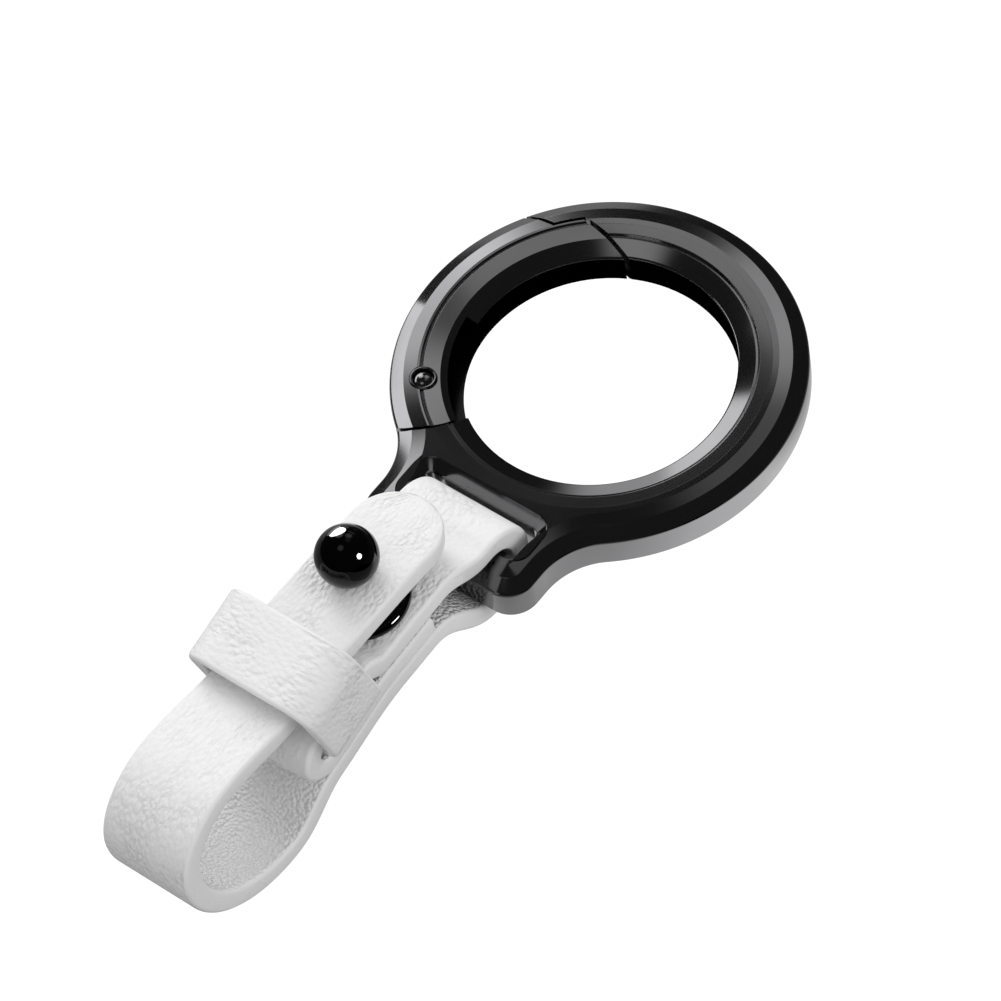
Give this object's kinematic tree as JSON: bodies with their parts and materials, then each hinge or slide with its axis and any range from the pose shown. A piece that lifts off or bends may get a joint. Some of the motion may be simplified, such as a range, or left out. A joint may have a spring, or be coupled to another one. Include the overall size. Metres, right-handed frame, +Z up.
{
  "type": "leather strap keychain",
  "caption": "Black sprung-gate ring on a white leather strap that wraps the ring's bar, is clamped by a ball stud, hangs in a loop and buttons back through a leather keeper.",
  "frame": {"origin": "on the surface the part lies on, below the middle of its bounding box", "axes": "+Z up from the surface, +Y along the strap towards the ring, X across the strap and along the lug's bar"},
  "size_m": [0.0333, 0.0728, 0.0198],
  "materials": {
    "black_metal": "glossy black plating on zinc alloy",
    "spring_steel": "drawn wire",
    "white_leather": "white pebbled leather with painted edges"
  },
  "bodies": {
    "ring": {"ring_frame": "black_metal", "gate_pin": "black_metal", "gate_spring": "spring_steel"},
    "gate": {"gate": "black_metal"},
    "strap": {"strap_body": "white_leather", "keeper": "white_leather", "ball_stud": "black_metal", "stud_screw": "black_metal"},
    "tongue": {"strap_tongue": "white_leather"}
  },
  "joints": [
    {"name": "gate_hinge", "type": "hinge", "parent": "ring", "child": "gate", "pos_m": [-0.01083, 0.01111, 0.00364], "axis": [0, -0.0672, -0.9977], "range_deg": [0, 40], "stiffness_Nm_per_rad": 0.03, "springref_deg": -34.38, "deforming": ["gate_spring"]},
    {"name": "strap_swing", "type": "hinge", "parent": "ring", "child": "strap", "pos_m": [0, 0.00003, 0.00439], "axis": [1, 0, 0], "range_deg": [-80, 110]},
    {"name": "tongue_lift", "type": "hinge", "parent": "strap", "child": "tongue", "pos_m": [0, -0.01589, 0.01429], "axis": [1, 0, 0], "range_deg": [0, 65], "stiffness_Nm_per_rad": 0.004, "springref_deg": -5.73, "deforming": ["strap_tongue"]}
  ]
}
